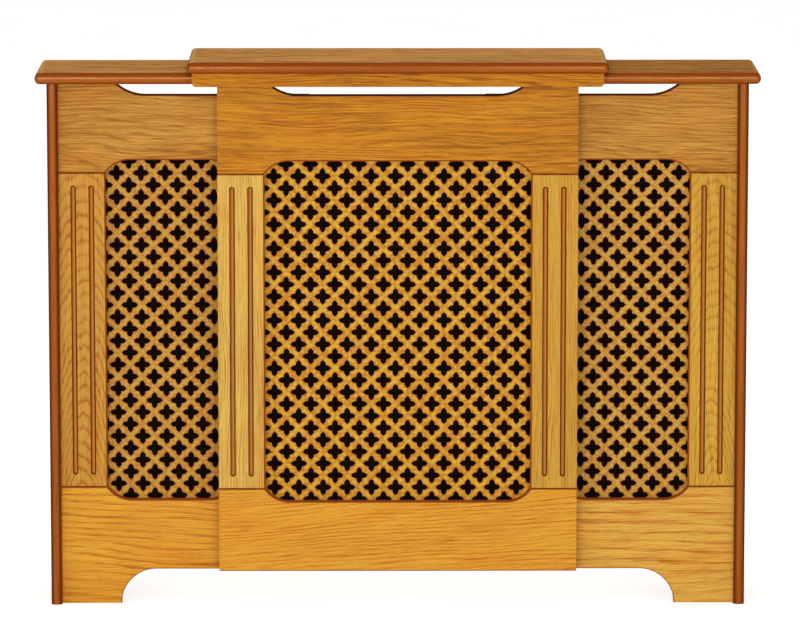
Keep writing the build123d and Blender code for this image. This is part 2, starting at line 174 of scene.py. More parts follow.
def make_oak_figure():
    """Oak veneer, with its grain along the vector's X.

    A ring's radius is the root of across squared plus depth squared, over the ring width, plus a
    wobble. The depth grows along X with the slope, so the rings show as long arches. A ring is
    dark at its start, paler inside, and dark again at its end, and has a strength of its own.
    Streaks and pores are noise drawn out along the grain.
    """
    tree, given, leave = start_group(
        "oak_figure",
        {
            "Vector": "vector",
            "Light": "colour",
            "Dark": "colour",
            "Ring Width": "number",
            "Slope": "number",
            "Rings": "number",
            "Streaks": "number",
            "Sway": "number",
        },
        {"Color": "colour", "Roughness": "number", "Height": "number"},
    )
    where = given["Vector"]
    split = put(tree, "SeparateXYZ", {0: where}).outputs
    sway = drawn_noise(tree, where, SWAY_SPOTS, detail=1)
    swing = calc(tree, "MULTIPLY", calc(tree, "SUBTRACT", sway, 0.5), given["Sway"])
    across = calc(tree, "ADD", split["Y"], swing)
    bend = put(tree, "CombineXYZ", {1: calc(tree, "MULTIPLY", swing, 0.6)}).outputs[0]
    bent = vector_calc(tree, "ADD", where, bend)
    depth = calc(tree, "MULTIPLY_ADD", split["X"], given["Slope"], split["Z"])
    square = calc(tree, "ADD", calc(tree, "POWER", across, 2), calc(tree, "POWER", depth, 2))
    wobble = drawn_noise(tree, where, WOBBLE_SPOTS, detail=4, rough=0.6)
    wobble = calc(tree, "MULTIPLY", wobble, 1.3)
    radius = calc(tree, "DIVIDE", calc(tree, "SQRT", square), given["Ring Width"])
    phase = calc(tree, "ADD", radius, wobble)
    ring = calc(tree, "FRACT", phase)
    early = calc(tree, "SUBTRACT", 1.0, ramp(tree, ring, 0.0, 0.4))
    late = ramp(tree, ring, 0.88, 1.0)
    each = calc(tree, "MULTIPLY", calc(tree, "FLOOR", phase), 0.37)
    along = calc(tree, "MULTIPLY", split["X"], RING_SPOTS)
    place = put(tree, "CombineXYZ", {0: along, 1: each}).outputs[0]
    strength = calc(tree, "MULTIPLY_ADD", ramp(tree, noise(tree, place), 0.3, 0.65), 0.75, 0.25)
    rings = calc(tree, "MULTIPLY", calc(tree, "MAXIMUM", early, late), strength)

    streak = drawn_noise(tree, bent, STREAK_SPOTS, detail=4, rough=0.7)
    streak = ramp(tree, streak, 0.36, 0.64)
    rings = calc(tree, "MULTIPLY", rings, calc(tree, "MULTIPLY_ADD", streak, 0.6, 0.4))
    cloud = drawn_noise(tree, where, CLOUD_SPOTS, detail=3)
    pore = drawn_noise(tree, bent, PORE_SPOTS, rough=0.7)
    pore = ramp(tree, calc(tree, "MULTIPLY_ADD", rings, 0.07, pore), 0.56, 0.7)

    tone = calc(tree, "MULTIPLY", rings, given["Rings"])
    tone = calc(tree, "MULTIPLY_ADD", streak, given["Streaks"], tone)
    drift = calc(tree, "MULTIPLY", calc(tree, "SUBTRACT", cloud, 0.5), 0.9)
    tone = calc(tree, "ADD", tone, drift, clamp=True)
    colour = mix(tree, tone, given["Light"], given["Dark"])
    dark_pore = mix(tree, 1.0, given["Dark"], PORE_TINT, "MULTIPLY")
    colour = mix(tree, calc(tree, "MULTIPLY", pore, 0.4), colour, dark_pore)
    flush = ramp(tree, drawn_noise(tree, where, FLUSH_SPOTS), 0.45, 0.75)
    flushed = mix(tree, 1.0, colour, FLUSH_TINT, "MULTIPLY")
    colour = mix(tree, calc(tree, "MULTIPLY", flush, 0.6), colour, flushed)
    rough = calc(tree, "MULTIPLY_ADD", pore, 0.2, 0.36)
    height = calc(tree, "MULTIPLY_ADD", streak, 0.25, calc(tree, "MULTIPLY", pore, -1.0))
    feed(tree, leave, {"Color": colour, "Roughness": rough, "Height": height})
    return tree


def make_handling():
    """Faint dust and handling: a slow mottling that dulls the lacquer here and there."""
    tree, given, leave = start_group(
        "handling", {"Vector": "vector", "Amount": "number"}, {"Roughness": "number"}
    )
    smear = noise(tree, given["Vector"], scale=9, detail=4, rough=0.6)
    dull = calc(tree, "MULTIPLY", ramp(tree, smear, 0.4, 0.75), given["Amount"])
    feed(tree, leave, {"Roughness": dull})
    return tree


def make_edge_distance():
    """Distance from an outline in X and Z with rounded corners, as far as a plain side cuts it.

    Beyond the corners' centres it is the length of the way to the nearest centre, less the
    radius; beside the plain sides it is the way to the side. It is greater than 0 in the wood.
    """
    tree, given, leave = start_group(
        "edge_distance",
        {
            "Vector": "vector",
            "Middle": "vector",
            "Half Size": "vector",
            "Radius": "number",
            "Side": "number",
        },
        {"Distance": "number"},
    )
    way = vector_calc(tree, "SUBTRACT", given["Vector"], given["Middle"])
    way = vector_calc(tree, "ABSOLUTE", way)
    beyond = vector_calc(tree, "SUBTRACT", way, given["Half Size"])
    beyond = put(tree, "SeparateXYZ", {0: beyond}).outputs
    flat = {0: calc(tree, "MAXIMUM", beyond["X"], 0.0), 2: calc(tree, "MAXIMUM", beyond["Z"], 0.0)}
    corner = put(tree, "CombineXYZ", flat).outputs[0]
    length = put(tree, "VectorMath", {0: corner}, operation="LENGTH").outputs["Value"]
    rounded = calc(tree, "SUBTRACT", length, given["Radius"])
    plain = calc(tree, "SUBTRACT", put(tree, "SeparateXYZ", {0: way}).outputs["X"], given["Side"])
    feed(tree, leave, {"Distance": calc(tree, "MAXIMUM", rounded, plain)})
    return tree


OAK_FIGURE = make_oak_figure()
HANDLING = make_handling()
EDGE_DISTANCE = make_edge_distance()


def start_material(name):
    """Empty node material: (material, tree, object coordinates)."""
    material = bpy.data.materials.new(name)
    material.use_nodes = True
    tree = material.node_tree
    tree.nodes.clear()
    return material, tree, put(tree, "TexCoord").outputs["Object"]


def end_material(tree, sockets, height=None, relief=0.0):
    """Principled surface from colours and values, with a bump of that relief in metres."""
    shader = put(tree, "BsdfPrincipled", sockets)
    if height is not None:
        bump = put(tree, "Bump", {"Strength": 1.0, "Distance": relief, "Height": height})
        tree.links.new(bump.outputs[0], shader.inputs["Normal"])
    finish = tree.nodes.new("ShaderNodeOutputMaterial")
    tree.links.new(shader.outputs[0], finish.inputs[0])


# ---- Finishes ----

# For a board that runs along an axis: the axes along its grain, across it and into the board
BOARD_AXES = {"X": ("X", "Z", "Y"), "Y": ("Y", "X", "Z"), "Z": ("Z", "X", "Y")}


def along_grain(tree, place, axis, start, tilt=0.0):
    """Coordinates with X along the grain, Y across it and Z into the board, from a start point.

    A tilt makes the grain rise that much for each metre along the board.
    """
    split = put(tree, "SeparateXYZ", {0: place}).outputs
    along, across, inward = (split[name] for name in BOARD_AXES[axis])
    across = calc(tree, "MULTIPLY_ADD", along, -tilt, across)
    turned = put(tree, "CombineXYZ", {0: along, 1: across, 2: inward})
    return vector_calc(tree, "ADD", turned.outputs[0], start)


def wood_grain(tree, vector, light, dark, width, slope, rings, streaks, sway):
    """Places the oak figure, between two tones and with the width of its rings in metres."""
    sockets = {
        "Vector": vector,
        "Light": light,
        "Dark": dark,
        "Ring Width": width,
        "Slope": slope,
        "Rings": rings,
        "Streaks": streaks,
        "Sway": sway,
    }
    return use_group(tree, OAK_FIGURE, sockets)


# Depths below a frame's face between which one finish turns to the next
CUT_BAND = (0.05 * MM, 0.35 * MM)  # veneer to stain
WALL_BAND = (1.6 * MM, 2.2 * MM)  # bevel to wall
BACK_BAND = (13.4 * MM, 13.8 * MM)  # stain to the bare back, just before the rebate in it
# Heights above the floor between which the stain turns to that of the outlets
OUTLET_BAND = (820 * MM, 835 * MM)
# How far the stain of a cut edge creeps over the face: to where it ends, and where it is full
BLEED_BAND = (0.8 * MM, 0.24 * MM)
STAIN_COVER = 0.94

CUT_STAIN, WALL_STAIN = stain(146, 66, 10), stain(156, 70, 14)
OUTLET_STAIN, SIDE_OUTLET_STAIN = stain(20, 7, 2), stain(84, 18, 3)
BACK_TONE = stain(178, 134, 88)

# Distances from a flute's middle, to the left where negative, between which its tone changes
FLUTE_FLOOR_BAND = (-2.4 * MM, 1.4 * MM)
FLUTE_LEFT_BAND = (-2.4 * MM, -3.0 * MM)
FLUTE_RIGHT_BAND = (1.0 * MM, 3.0 * MM)
FLUTE_END_BAND = (FLUTE_HALF - 3.4 * MM, FLUTE_HALF - 1.6 * MM)
# Painted light and shade in the flutes: a shaded and a lit floor tone, and wall and rim tones that
# add painted shade to the stain
FLUTE_SHADE, FLUTE_FLOOR_LIT = stain(160, 86, 20), stain(206, 126, 50)
FLUTE_WALL_STAIN_AND_SHADE, FLUTE_RIM_STAIN_AND_SHADE = stain(104, 40, 1), stain(86, 34, 1)


def flute_light_and_shade(tree, x, z, middle):
    """Painted light and shade over the stain of a stile's two flutes, and a mask of where they are,
    from the stile's middle.

    The floor is painted paler towards the right, as if lit from the left, and the walls and ends
    darkest, as painted shade over the stain in the hollow.
    """
    across = calc(tree, "SUBTRACT", x, middle)
    side = calc(tree, "MULTIPLY", calc(tree, "SIGN", across), FLUTE_SPACING / 2)
    off = calc(tree, "SUBTRACT", across, side)
    reach = calc(tree, "ABSOLUTE", off)
    # Painted light on the floor, rising to the right, then painted shade on the walls and at the
    # ends
    tone = mix(tree, ramp(tree, off, *FLUTE_FLOOR_BAND), FLUTE_SHADE, FLUTE_FLOOR_LIT)
    tone = mix(tree, ramp(tree, off, *FLUTE_LEFT_BAND), tone, FLUTE_WALL_STAIN_AND_SHADE)
    tone = mix(tree, ramp(tree, off, *FLUTE_RIGHT_BAND), tone, FLUTE_RIM_STAIN_AND_SHADE)
    along = calc(tree, "ABSOLUTE", calc(tree, "SUBTRACT", z, OPENING_MIDDLE))
    tone = mix(tree, ramp(tree, along, *FLUTE_END_BAND), tone, FLUTE_RIM_STAIN_AND_SHADE)
    return tone, calc(tree, "LESS_THAN", reach, FLUTE_REACH)


def stained_edges(tree, place, colour, side, flutes, outlines):
    """A frame's veneer, with dark stain on what is cut below its face and creeping over its edges.

    The back, with the rebate cut in it, is left unstained and duller. Returns the colour and the
    mask of the stain.
    """
    split = put(tree, "SeparateXYZ", {0: place}).outputs
    depth = calc(tree, "SUBTRACT", split["Y"], FACES[side])
    cut = ramp(tree, depth, *CUT_BAND)
    for middle, half_size, radius, plain_side, bevel in outlines:
        sockets = {
            "Vector": place,
            "Middle": middle,
            "Half Size": half_size,
            "Radius": radius,
            "Side": plain_side,
        }
        gap = use_group(tree, EDGE_DISTANCE, sockets)["Distance"]
        crept = ramp(tree, gap, *(bevel + bleed for bleed in BLEED_BAND))
        cut = calc(tree, "MAXIMUM", cut, crept)
    stained = mix(tree, ramp(tree, depth, *WALL_BAND), CUT_STAIN, WALL_STAIN)
    outlet_tone = OUTLET_STAIN if side == "centre" else SIDE_OUTLET_STAIN
    stained = mix(tree, ramp(tree, split["Z"], *OUTLET_BAND), stained, outlet_tone)
    # Beside the flutes, their painted light and shade takes the place of the stain
    if flutes is not None:
        tone, beside = flute_light_and_shade(tree, split["X"], split["Z"], flutes)
        stained = mix(tree, beside, stained, tone)
    stained = mix(tree, calc(tree, "MULTIPLY", cut, STAIN_COVER), colour, stained)
    back = ramp(tree, depth, *BACK_BAND)
    fibres = noise(tree, place, scale=260, detail=4, rough=0.7)
    plain = mix(tree, calc(tree, "MULTIPLY_ADD", fibres, 0.6, 0.3), colour, BACK_TONE)
    return mix(tree, back, stained, plain), cut


def oak(
    name,
    axis,
    start,
    light,
    dark,
    rings,
    streaks,
    width,
    slope=0.03,
    side=None,
    flutes=None,
    outlines=(),
    tilt=0.0,
    sway=0.045,
):
    """Lacquered oak veneer.

    Where the side of a frame is given, what is cut below its face is stained dark, and so is a
    narrow band of the face along the given outlines. Where the middle of two flutes is given,
    painted light and shade go in them: their floors are paler, and their edges darkest.
    """
    material, tree, place = start_material(name)
    vector = along_grain(tree, place, axis, start, tilt)
    tones = stain(*light), stain(*dark)
    grain = wood_grain(tree, vector, *tones, width, slope, rings, streaks, sway)
    colour = grain["Color"]
    rough = grain["Roughness"]
    if side is not None:
        colour, cut = stained_edges(tree, place, colour, side, flutes, outlines)
        rough = calc(tree, "MULTIPLY_ADD", cut, 0.35, rough)
    dull = use_group(tree, HANDLING, {"Vector": place, "Amount": 0.12})
    rough = calc(tree, "ADD", rough, dull["Roughness"])
    sockets = {"Base Color": colour, "Roughness": rough, "Specular IOR Level": 0.15}
    end_material(tree, sockets, grain["Height"], 0.12 * MM)
    return material


LIP_LIGHT, LIP_DARK = stain(176, 92, 20), stain(126, 56, 6)
# Painted shade: darker tones for the roundings that turn up, down or aside, and near black where
# they face the sides
LIP_EDGE_SHADE, LIP_UPRIGHT_EDGE_SHADE = stain(138, 56, 3), stain(118, 44, 2)
LIP_OUTSIDE_SHADE = stain(58, 20, 6)
LIP_VENEER, RIGHT_LIP_VENEER = (192, 138, 66), (166, 112, 48)


def lipping(name, axis, start, veneer=None, upright=False):
    """Solid strip in reddish-brown stain under a glossier lacquer, with painted shade that darkens
    its roundings.

    Where a veneer tone is given, the shelf's veneer laps over the top of the strip.
    """
    material, tree, place = start_material(name)
    vector = along_grain(tree, place, axis, start)
    grain = wood_grain(
        tree, vector, LIP_LIGHT, LIP_DARK, 6 * MM, slope=0.02, rings=0.2, streaks=0.4, sway=0.02
    )
    facing = put(tree, "SeparateXYZ", {0: put(tree, "TexCoord").outputs["Normal"]}).outputs
    aside = calc(tree, "ABSOLUTE", facing["X"])
    # Painted shade on the roundings, by the way that they face
    if upright:
        colour = mix(tree, ramp(tree, aside, 0.15, 0.7), grain["Color"], LIP_UPRIGHT_EDGE_SHADE)
    else:
        colour = mix(tree, ramp(tree, facing["Z"], 0.25, 0.6), grain["Color"], LIP_EDGE_SHADE)
        colour = mix(tree, ramp(tree, facing["Z"], -0.3, -0.8), colour, LIP_EDGE_SHADE)
    dull = use_group(tree, HANDLING, {"Vector": place, "Amount": 0.1})
    rough = calc(tree, "ADD", dull["Roughness"], 0.18)
    if veneer is not None:
        top = ramp(tree, facing["Z"], 0.6, 0.8)
        colour = mix(tree, top, colour, stain(*veneer))
        rough = calc(tree, "MULTIPLY_ADD", top, 0.5, rough)
    # Painted shade, near black, on the roundings that face the sides
    rounding = calc(tree, "MULTIPLY", ramp(tree, aside, 0.7, 0.9), ramp(tree, aside, 0.999, 0.96))
    colour = mix(tree, rounding, colour, LIP_OUTSIDE_SHADE)
    sockets = {
        "Base Color": colour,
        "Roughness": rough,
        "Specular IOR Level": 0.7,
        "Specular Tint": (1.0, 0.85, 0.5, 1.0),
    }
    end_material(tree, sockets, grain["Height"], 0.04 * MM)
    return material


HOLE_WALL_STAIN = stain(40, 16, 6)


def pierced_board(name, light, dark, rim_tone):
    """Stained hardboard: golden, mottled with orange, and darker inside the pierced holes."""
    material, tree, place = start_material(name)
    midway = put(tree, "Attribute", attribute_name="midway").outputs["Fac"]
    spots = noise(tree, place, scale=190, detail=3, rough=0.65)
    clouds = noise(tree, place, scale=14, detail=3)
    colour = mix(tree, ramp(tree, spots, 0.42, 0.58), stain(*light), stain(*dark))
    colour = mix(tree, calc(tree, "MULTIPLY", clouds, 0.4), colour, stain(*dark))
    rim = calc(tree, "SUBTRACT", 1.0, ramp(tree, midway, 0.0, 0.7))
    colour = mix(tree, calc(tree, "MULTIPLY", rim, 0.6), colour, stain(*rim_tone))
    facing = put(tree, "SeparateXYZ", {0: put(tree, "TexCoord").outputs["Normal"]}).outputs["Y"]
    wall = calc(tree, "SUBTRACT", 1.0, ramp(tree, calc(tree, "ABSOLUTE", facing), 0.2, 0.8))
    colour = mix(tree, wall, colour, HOLE_WALL_STAIN)
    fibre = noise(tree, place, scale=900, detail=2)
    rough = calc(tree, "MULTIPLY_ADD", spots, 0.15, 0.42)
    sockets = {"Base Color": colour, "Roughness": rough, "Specular IOR Level": 0.2}
    end_material(tree, sockets, fibre, 0.05 * MM)
    return material


THREAD_SPACING = 1.1 * MM  # two threads of the gauze
GAUZE_DARK, GAUZE_PALE = stain(14, 2, 3), stain(34, 10, 9)


def gauze(name):
    """Black gauze: threads over and under each other, across and up."""
    material, tree, place = start_material(name)
    split = put(tree, "SeparateXYZ", {0: place}).outputs
    thread = 2 * pi / THREAD_SPACING
    warp = calc(tree, "SINE", calc(tree, "MULTIPLY", split["X"], thread))
    weft = calc(tree, "SINE", calc(tree, "MULTIPLY", split["Z"], thread))
    weave = calc(tree, "MULTIPLY", warp, weft)
    fuzz = noise(tree, place, scale=60, detail=3)
    share = calc(tree, "MULTIPLY", ramp(tree, weave, -1.0, 1.0), fuzz)
    colour = mix(tree, share, GAUZE_DARK, GAUZE_PALE)
    sockets = {"Base Color": colour, "Roughness": 0.95, "Specular IOR Level": 0.08}
    end_material(tree, sockets, weave, 0.08 * MM)
    return material


FELT_DARK, FELT_PALE = stain(40, 32, 28), stain(86, 74, 66)
SOFTWOOD_PALE, SOFTWOOD_DARK = stain(228, 200, 152), stain(196, 152, 98)
ZINC_PALE, ZINC_DARK = stain(196, 198, 202), stain(164, 167, 172)


def felt(name):
    """Dark felt: matted fibres."""
    material, tree, place = start_material(name)
    fibres = noise(tree, place, scale=700, detail=4, rough=0.7)
    colour = mix(tree, fibres, FELT_DARK, FELT_PALE)
    sockets = {"Base Color": colour, "Roughness": 0.95, "Sheen Weight": 0.3}
    end_material(tree, sockets, fibres, 0.25 * MM)
    return material


def softwood(name, axis, start):
    """Planed, unfinished softwood, pale with fine even rings."""
    material, tree, place = start_material(name)
    vector = along_grain(tree, place, axis, start)
    tones = SOFTWOOD_PALE, SOFTWOOD_DARK
    grain = wood_grain(tree, vector, *tones, 5 * MM, slope=0.02, rings=0.5, streaks=0.25, sway=0.03)
    rough = calc(tree, "ADD", grain["Roughness"], 0.3)
    sockets = {"Base Color": grain["Color"], "Roughness": rough}
    end_material(tree, sockets, grain["Height"], 0.1 * MM)
    return material


def zinc(name):
    """Zinc-plated steel: cool grey with faint spangle and brushed wear."""
    material, tree, place = start_material(name)
    spangle = put(tree, "TexVoronoi", {"Vector": place, "Scale": 260}).outputs["Distance"]
    smear = noise(tree, place, scale=90, detail=3)
    colour = mix(tree, ramp(tree, spangle, 0.1, 0.9), ZINC_PALE, ZINC_DARK)
    rough = calc(tree, "MULTIPLY_ADD", smear, 0.25, 0.28)
    sockets = {"Base Color": colour, "Roughness": rough, "Metallic": 0.6}
    end_material(tree, sockets, smear, 0.03 * MM)
    return material


# ---- Meshes ----


def new_piece(name, corners, faces, material, body):
    """Mesh object in a body, with one material."""
    mesh = bpy.data.meshes.new(name)
    mesh.from_pydata(corners.reshape(-1, 3).tolist(), [], [list(face) for face in faces])
    mesh.materials.append(material)
    mesh.update()
    piece = bpy.data.objects.new(name, mesh)
    bpy.context.scene.collection.objects.link(piece)
    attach(piece, body)
    return piece


def thicken(piece, thickness):
    """Gives a sheet that faces forwards its thickness, towards the wall."""
    wall = piece.modifiers.new("thickness", "SOLIDIFY")
    wall.thickness = thickness
    wall.offset = -1.0


HOLE_STEP = 19.8 * MM  # between neighbouring rows, and between neighbouring columns
HOLE_REACH = 13.5 * MM  # middle of a hole to a petal's tip
PETAL_HALF = 5.0 * MM  # half of a petal's greatest width
PETAL_BELLY = 5.8 * MM  # where a petal is widest, from the middle of the hole
FLANK_PARTS = 3  # straight parts of each of a petal's two flanks
SAME_POINT = 0.02 * MM  # points this near each other are one
BOARD_PATTERN = {  # middle of a hole in each board, in X and Z
    "centre": (-3.8 * MM, 472.0 * MM),
    "left": (-379.2 * MM, 475.0 * MM),
    "right": (379.2 * MM, 475.0 * MM),
}


def petal_flank():
    """Points of one flank, from the petal's tip to where it meets the next petal.

    A flank is an arc through the tip that bulges to half the petal's width at its belly, so the
    tip is pointed, and it ends on the diagonal, where its height equals its way out.
    """
    rise = HOLE_REACH - PETAL_BELLY
    radius = (rise**2 + PETAL_HALF**2) / (2 * PETAL_HALF)
    sink = radius - PETAL_HALF
    tip_angle = asin(rise / radius)
    # On the diagonal, belly + radius sin(a) = radius cos(a) - sink.
    end_angle = asin((PETAL_BELLY + sink) / (radius * sqrt(2))) - pi / 4
    turn = np.linspace(tip_angle, -end_angle, FLANK_PARTS + 1)
    return np.stack([PETAL_BELLY + radius * np.sin(turn), radius * np.cos(turn) - sink], axis=1)


def hole_rings():
    """Outline of a hole of four petals and, at the same bearings, of the diamond that it sits in.

    A quarter is a flank and its mirror image in the diagonal, and the quarters are turned copies.
    The diamond's points have |x| + |z| equal to the step between rows.
    """
    flank = petal_flank()
    quarter = np.concatenate([flank, flank[-2:0:-1, ::-1]])
    turns = np.arange(4) * pi / 2
    spin = np.array([[np.cos(turns), -np.sin(turns)], [np.sin(turns), np.cos(turns)]])
    hole = np.einsum("ijt,kj->tki", spin, quarter).reshape(-1, 2)
    diamond = hole * (HOLE_STEP / np.abs(hole).sum(axis=1))[:, None]
    return np.stack([hole, diamond])


def pierced_sheet(low, high, middle):
    """Flat lattice over a rectangle in X and Z, with some to spare.

    It is a ring of faces round each hole. The holes' middles lie at whole numbers of steps from
    the given one, and the sum of the two numbers is even. Returns the points, the faces and, for
    each point, 0 at a hole and 1 midway between holes.
    """
    rings = hole_rings()
    count = rings.shape[1]
    first = np.floor((low - middle) / HOLE_STEP).astype(int) - 1
    last = np.ceil((high - middle) / HOLE_STEP).astype(int) + 1
    columns, rows = np.meshgrid(np.arange(first[0], last[0] + 1), np.arange(first[1], last[1] + 1))
    chosen = (columns + rows) % 2 == 0
    centres = middle + np.stack([columns[chosen], rows[chosen]], axis=1) * HOLE_STEP
    points = centres[:, None, None, :] + rings[None]
    k = np.arange(count)
    n = (k + 1) % count
    ring_faces = np.stack([k, n, n + count, k + count], axis=1)
    starts = np.arange(len(centres)) * 2 * count
    faces = (starts[:, None, None] + ring_faces[None]).reshape(-1, 4)
    midway = np.tile(np.repeat([0.0, 1.0], count), len(centres))
    return points.reshape(-1, 2), faces, midway


def grille(name, side, material):
    """Pierced board in place of a CAD board: the lattice cut to its box and made as thick."""
    low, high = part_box(name)
    edges = np.array([[low.x, low.z], [high.x, high.z]])
    points, faces, midway = pierced_sheet(edges[0], edges[1], np.array(BOARD_PATTERN[side]))
    corners = np.insert(points, 1, low.y, axis=1)
    board = new_piece(side + "_pierced_board", corners, faces, material, side)
    board.data.attributes.new("midway", "FLOAT", "POINT").data.foreach_set("value", midway)
    lattice = bmesh.new()
    lattice.from_mesh(board.data)
    bmesh.ops.remove_doubles(lattice, verts=lattice.verts, dist=SAME_POINT)
    cuts = ((low, (-1, 0, 0)), (high, (1, 0, 0)), (low, (0, 0, -1)), (high, (0, 0, 1)))
    for corner, outward in cuts:
        everything = lattice.verts[:] + lattice.edges[:] + lattice.faces[:]
        bmesh.ops.bisect_plane(
            lattice, geom=everything, plane_co=corner, plane_no=outward, clear_outer=True
        )
    bmesh.ops.recalc_face_normals(lattice, faces=lattice.faces[:])
    if lattice.faces[:][0].normal.y > 0:
        bmesh.ops.reverse_faces(lattice, faces=lattice.faces[:])
    lattice.to_mesh(board.data)
    lattice.free()
    thicken(board, high.y - low.y)
    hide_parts(name)
    return board


GAUZE_COLUMNS, GAUZE_ROWS = 41, 65  # points of a gauze's grid
GAUZE_CLEAR = 0.05 * MM  # between the board and the gauze
GAUZE_SLACK = 0.2 * MM
GAUZE_THICKNESS = 0.3 * MM
RIPPLES_ACROSS, RIPPLES_UP, RIPPLE_BENDS = 95, 71, 31  # radians to the metre
RIPPLE_BEND = 1.3  # radians


def gauze_cloth(name, side, material):
    """Gauze stretched over the back of a pierced board: a thin sheet with a faint slackness.

    It stands off the board by the slack, times a half sine wave across and one up, times a ripple
    of 0 to 1, made of sine waves across, which bend to and fro with the height, and waves up.
    """
    low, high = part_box(name)
    columns = np.linspace(low.x, high.x, GAUZE_COLUMNS)
    rows = np.linspace(low.z, high.z, GAUZE_ROWS)
    x, z = np.meshgrid(columns, rows)
    bulge = np.sin((x - low.x) / (high.x - low.x) * pi)
    bulge = bulge * np.sin((z - low.z) / (high.z - low.z) * pi)
    bend = RIPPLE_BEND * np.sin(z * RIPPLE_BENDS)
    ripple = 0.5 + 0.5 * np.sin(x * RIPPLES_ACROSS + bend) * np.sin(z * RIPPLES_UP)
    y = low.y + GAUZE_CLEAR + GAUZE_SLACK * bulge * ripple
    corners = np.stack([x, y, z], axis=2)
    k = np.arange(GAUZE_ROWS - 1)[:, None] * GAUZE_COLUMNS + np.arange(GAUZE_COLUMNS - 1)[None]
    above = k + GAUZE_COLUMNS
    faces = np.stack([k, k + 1, above + 1, above], axis=2).reshape(-1, 4)
    cloth = new_piece(side + "_gauze_cloth", corners, faces, material, side)
    thicken(cloth, GAUZE_THICKNESS)
    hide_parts(name)


NOSE_RADIUS = 8 * MM  # rounding of a lipping, above and below
CORNER_RADIUS = 9 * MM  # rounding of a shelf's corner, seen from above
ARC_PARTS = 8  # straight parts of a quarter circle
SHARP_ANGLE = 40  # degrees, past which an edge of a lipping isn't shaded smooth


def front_line(low, high, radius, rounded):
    """Front line in X and Y, from left to right, and its outward directions.

    A rounded end is a quarter circle, its centre plus the radius times (cos a, sin a). A plain end
    is one point.
    """
    points, outward = [], []
    for end, corner in ((-1, low.x), (1, high.x)):
        if end in rounded:
            turn = np.linspace(0, pi / 2, ARC_PARTS + 1) + (pi if end < 0 else 1.5 * pi)
            way = np.stack([np.cos(turn), np.sin(turn)], axis=1)
            points.append(np.array([corner - end * radius, low.y + radius]) + radius * way)
        else:
            way = np.array([[0.0, -1.0]])
            points.append(np.array([[corner, low.y]]))
        outward.append(way)
    return np.concatenate(points), np.concatenate(outward)


def nose(low, high):
    """Insets and levels down a rounded edge: a quarter circle above, and one below.

    At an angle a round a quarter, the inset is radius (1 - sin a), and the level lies
    radius (1 - cos a) from the top or from the under side.
    """
    turn = np.linspace(0, pi / 2, ARC_PARTS + 1)
    inset = NOSE_RADIUS * (1 - np.sin(turn))
    drop = NOSE_RADIUS * (1 - np.cos(turn))
    insets = np.concatenate([inset, inset[::-1]])
    return insets, np.concatenate([high.z - drop, low.z + drop[::-1]])


def closed_strip(name, loops, levels, material, body):
    """Closed strip in place of a CAD lipping: loops of points in X and Y, each at its level.

    Its sides join each loop to the next one down, and the first and last loop are its ends.
    """
    height = np.broadcast_to(levels[:, None, None], loops.shape[:2] + (1,))
    corners = np.concatenate([loops, height], axis=2)
    count = loops.shape[1]
    k = np.arange(count)
    n = (k + 1) % count
    step = np.arange(len(levels) - 1)[:, None] * count
    sides = np.stack([step + k, step + k + count, step + n + count, step + n], axis=2)
    faces = sides.reshape(-1, 4).tolist()
    faces.append(k.tolist())
    faces.append(((len(levels) - 1) * count + k[::-1]).tolist())
    piece_name = name.replace("lipping", "nosing")
    strip = new_piece(piece_name, corners, faces, material, body)
    strip.data.shade_smooth()
    strip.data.set_sharp_from_angle(angle=radians(SHARP_ANGLE))
    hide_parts(name)


def level_strip(name, line, outward, joint, material, body):
    """Strip along a shelf's edge: each level is its line moved inwards by the nose's inset.

    The joint's points, behind the line, stay where they are.
    """
    insets, levels = nose(*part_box(name))
    outline = line[None] - outward[None] * insets[:, None, None]
    still = np.broadcast_to(joint, (len(insets),) + joint.shape)
    closed_strip(name, np.concatenate([outline, still], axis=1), levels, material, body)


def front_strip(name, body, rounded, material):
    """Front strip of a shelf. At a rounded end its line runs on to the joint with the end strip."""
    low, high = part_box(name)
    line, outward = front_line(low, high, CORNER_RADIUS, rounded)
    joint = []
    for end, corner in ((1, high.x), (-1, low.x)):
        if end in rounded:
            where = len(line) if end > 0 else 0
            line = np.insert(line, where, (corner, high.y), axis=0)
            outward = np.insert(outward, where, (end, 0.0), axis=0)
        else:
            joint.append((corner, high.y))
    level_strip(name, line, outward, np.array(joint).reshape(-1, 2), material, body)


def end_strip(name, body, end, material):
    """End strip of a shelf, from the front strip back to the wall."""
    low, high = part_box(name)
    outer, inner = (low.x, high.x) if end < 0 else (high.x, low.x)
    line = np.array([(outer, low.y), (outer, high.y)])
    joint = np.array([(inner, high.y), (inner, low.y)])
    if end < 0:
        line, joint = line[::-1], joint[::-1]
    level_strip(name, line, np.array([[end, 0.0]] * 2), joint, material, body)


def upright_strip(name, body, material):
    """Strip on an end panel's front edge: its section, with two rounded corners, carried up."""
    low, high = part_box(name)
    line = front_line(low, high, NOSE_RADIUS, (-1, 1))[0]
    section = np.concatenate([line, [(high.x, high.y), (low.x, high.y)]])
    loops = np.stack([section, section])
    closed_strip(name, loops, np.array([high.z, low.z]), material, body)


BOARD_TONES = {  # pale, dark, and round the holes
    "centre": ((224, 178, 54), (196, 124, 24), (176, 96, 16)),
    "left": ((206, 166, 66), (190, 122, 38), (166, 92, 22)),
    "right": ((210, 172, 72), (194, 128, 42), (168, 94, 24)),
}
gauze_finish = gauze("black_gauze")
for side, tones in BOARD_TONES.items():
    board = grille(f"{side}_grille", side, pierced_board(f"{side}_pierced_board", *tones))
    gauze_cloth(f"{side}_gauze", side, gauze_finish)

# ---- Finishes of the CAD nodes ----

